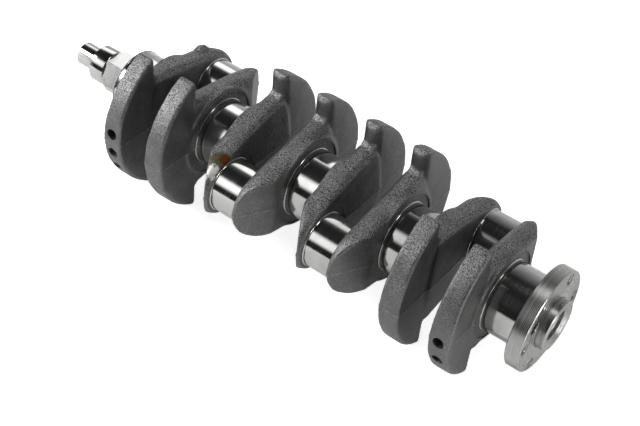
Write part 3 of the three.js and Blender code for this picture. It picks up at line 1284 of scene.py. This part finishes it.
@dataclass
class Studio:
    """A pale floor, a room with a pale wall behind, soft boxes and the camera.

    Args:
        boxes: The soft boxes.
        floor_size: Width of the floor.
        floor_drop: Gap between the floor and the counterweights.
        floor_glow: How bright the floor glows on the shaft.
        floor_seen: How bright the floor glows to the camera.
        wall_light: Brightness of the wall behind.
        right_light: Brightness of the room on the right.
        room_light: Brightness of the rest of the room.
        backdrop: Brightness of the room to the camera.
        lens: Focal length in millimetres.
        aim: The point that the camera looks at.
        distance: From that point to the camera.
        azimuth: Degrees from -Y towards +X.
        elevation: Degrees above the floor.
        roll: Degrees about the view line.
    """

    boxes: tuple[SoftBox, ...]
    floor_size: float = 6.0
    floor_drop: float = 0.2 * MM
    floor_glow: float = 0.08
    floor_seen: float = 0.8
    wall_light: float = 0.7
    right_light: float = 0.14
    room_light: float = 0.02
    backdrop: float = 0.95
    lens: float = 75.57
    aim: tuple[float, float, float] = (0.0343, -0.0204, 0.0)
    distance: float = 0.9783
    azimuth: float = 33.49
    elevation: float = 43.73
    roll: float = 5.92

    def build(self) -> None:
        """Set the floor, the lights and the camera."""
        bpy.context.scene.view_settings.view_transform = "Standard"
        self._floor()
        self._world()
        for box in self.boxes:
            box.hang()
        self._camera()

    def _floor(self) -> None:
        """Lay a plain pale floor under the counterweights, lit from beneath like a light table."""
        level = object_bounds()[0].z - self.floor_drop
        take()
        bpy.ops.mesh.primitive_plane_add(size=self.floor_size, location=(0, 0, level))
        floor = named("pale_floor")
        material, tree = new_material("pale_light_table")
        seen = add_node(tree, "ShaderNodeLightPath").outputs["Is Camera Ray"]
        glow = ramp(tree, seen, result=(self.floor_glow, self.floor_seen))
        inputs = {
            "Base Color": linear("#f2f2f2"),
            "Roughness": 0.9,
            "Specular IOR Level": 0.0,
            "Emission Color": linear("#ffffff"),
            "Emission Strength": glow,
        }
        close_material(tree, add_node(tree, "ShaderNodeBsdfPrincipled", inputs))
        floor.data.materials.append(material)
        floor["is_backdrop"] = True

    def _world(self) -> None:
        """Make the room dark above and in front, with a pale wall behind and to the right."""
        world = bpy.data.worlds.new("studio_room")
        bpy.context.scene.world = world
        world.use_nodes = True
        tree = world.node_tree
        tree.nodes.clear()
        direction = add_node(tree, "ShaderNodeTexCoord").outputs["Generated"]
        parts = add_node(tree, "ShaderNodeSeparateXYZ", {0: direction}).outputs
        behind = ramp(tree, parts[1], (0.05, 0.5), (0.0, self.wall_light), "SMOOTHSTEP")
        low = ramp(tree, parts[2], (0.9, 0.0))
        wall = calculate(tree, "MULTIPLY", behind, low)
        right = ramp(tree, parts[0], (0.3, 0.95), (0.0, self.right_light), "SMOOTHSTEP")
        light = calculate(tree, "MAXIMUM", wall, right)
        room = calculate(tree, "ADD", light, self.room_light)
        seen = add_node(tree, "ShaderNodeLightPath").outputs["Is Camera Ray"]
        inputs = {"Factor": seen, 2: room, 3: self.backdrop}
        strength = add_node(tree, "ShaderNodeMix", inputs).outputs[0]
        back = add_node(
            tree, "ShaderNodeBackground", {"Color": linear("#fcfdff"), "Strength": strength}
        )
        add_node(tree, "ShaderNodeOutputWorld", {"Surface": back.outputs[0]})

    def _camera(self) -> None:
        """Place the camera, slightly rolled."""
        turn, rise = math.radians(self.azimuth), math.radians(self.elevation)
        level = math.cos(rise)
        back = Vector((math.sin(turn) * level, -math.cos(turn) * level, math.sin(rise)))
        data = bpy.data.cameras.new("studio_camera")
        data.lens = self.lens
        data.sensor_width = 36
        camera = bpy.data.objects.new("studio_camera", data)
        camera.rotation_mode = "QUATERNION"
        camera.location = Vector(self.aim) + back * self.distance
        upright = (-back).to_track_quat("-Z", "Y")
        camera.rotation_quaternion = upright @ Quaternion((0, 0, 1), math.radians(self.roll))
        bpy.context.scene.collection.objects.link(camera)
        bpy.context.scene.camera = camera


# ---------------------------------------------------------------------------------------- build


def main() -> None:
    """Build the crankshaft and its studio in order."""
    logging.basicConfig(level=logging.INFO, format="%(name)s: %(message)s")
    ground = GroundSteel().material()
    turned = TurnedSteel().material()
    # Faced with a cutter of coarse feed: dull and grey, so the rings round the journals stay quiet.
    faced = TurnedSteel(
        name="faced_steel", colour="#b9b9b7", shade="#92928f", roughness=(0.42, 0.55)
    ).material()
    # Milled flats: flat bright planes with a slight blur, between ground and turned.
    milled = GroundSteel(name="milled_steel", line=0.8 * MM, roughness=(0.16, 0.26)).material()
    # Inside the holes: a dark steel, painted shade for the dark of deep holes, with a faint glint
    # on their walls.
    painted_hole_shade = TurnedSteel(
        name="drilled_steel_painted_dark", colour="#3a3a39", shade="#191919", roughness=(0.3, 0.45)
    ).material()
    skin = ForgedSkin().material()
    # The same skin with dried oil: one web has a brown and a pale patch beside its crankpin; the
    # pale patch is a painted highlight of glare on the oil.
    stained_or_glared = ForgedSkin(
        name="shot_blasted_forged_steel_oil_stain_and_painted_glare",
        stains_or_glare=(
            StainOrGlare((-38.5 * MM, -49 * MM, 25 * MM), 9 * MM, "#4a3f1d", 0.75),
            StainOrGlare((-37.5 * MM, -44 * MM, 25 * MM), 4.5 * MM, "#63370f", 0.9),
            # Painted highlight: the glare of light on the oil film, laid as a pale colour.
            StainOrGlare((-36 * MM, -61 * MM, 24 * MM), 9 * MM, "#efe9e5", 0.95),
        ),
    ).material()

    # The oil mouths open 50 degrees below the throw plane, on the far side from the main axis.
    down_and_out = math.radians(50)
    for number in range(1, 6):
        Journal(f"main_journal_{number}").build(ground)
    for number in range(1, 5):
        side = 1 if number in (1, 4) else -1
        mouth = Vector((0, side * math.cos(down_and_out), -math.sin(down_and_out)))
        Journal(f"crankpin_{number}", oil_mouth=mouth).build(ground)

    low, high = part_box("web_1")
    pin_low, pin_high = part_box("crankpin_1")
    blank = ForgedBlank(thickness=high.x - low.x, throw=(pin_low.y + pin_high.y) / 2).build()
    # Only the end webs were drilled for balance.
    balance = {1: (7, -9, -24.5), 8: (-1, -18.5)}
    for number in range(1, 9):
        web = Web(number, balance=balance.get(number, ()))
        if number == 1:
            # The first web keeps a lug near its outer face, beside the top of its crankpin.
            web.lug = Vector((low.x + 5 * MM, pin_high.y - 21 * MM, 0))
        web.build(blank, stained_or_glared if number == 3 else skin, faced, painted_hole_shade)
    bpy.data.meshes.remove(blank.data)

    Snout().build(milled, ground)
    Rear().build(turned, painted_hole_shade)
    Studio(
        boxes=(
            SoftBox("front_box", (-0.65, -0.87, 0.75), (1.1, 0.95), 1.65),
            SoftBox("back_box", (-0.75, 0.85, 0.76), (1.1, 0.85), 1.65),
            SoftBox("top_box", (0.2, 0.05, 1.4), (0.5, 0.6), 8.0),
            SoftBox("key_box", (-1.45, -0.95, 1.15), (0.9, 0.9), 40.0),
            SoftBox("low_box", (-1.25, -1.1, 0.25), (0.7, 0.6), 3.2),
            SoftBox("right_box", (1.5, -0.5, 0.3), (0.8, 0.8), 2.5),
            SoftBox("end_box", (0.75, -0.1, 0.22), (0.35, 0.35), 18.0),
        )
    ).build()


if __name__ == "__main__":
    main()
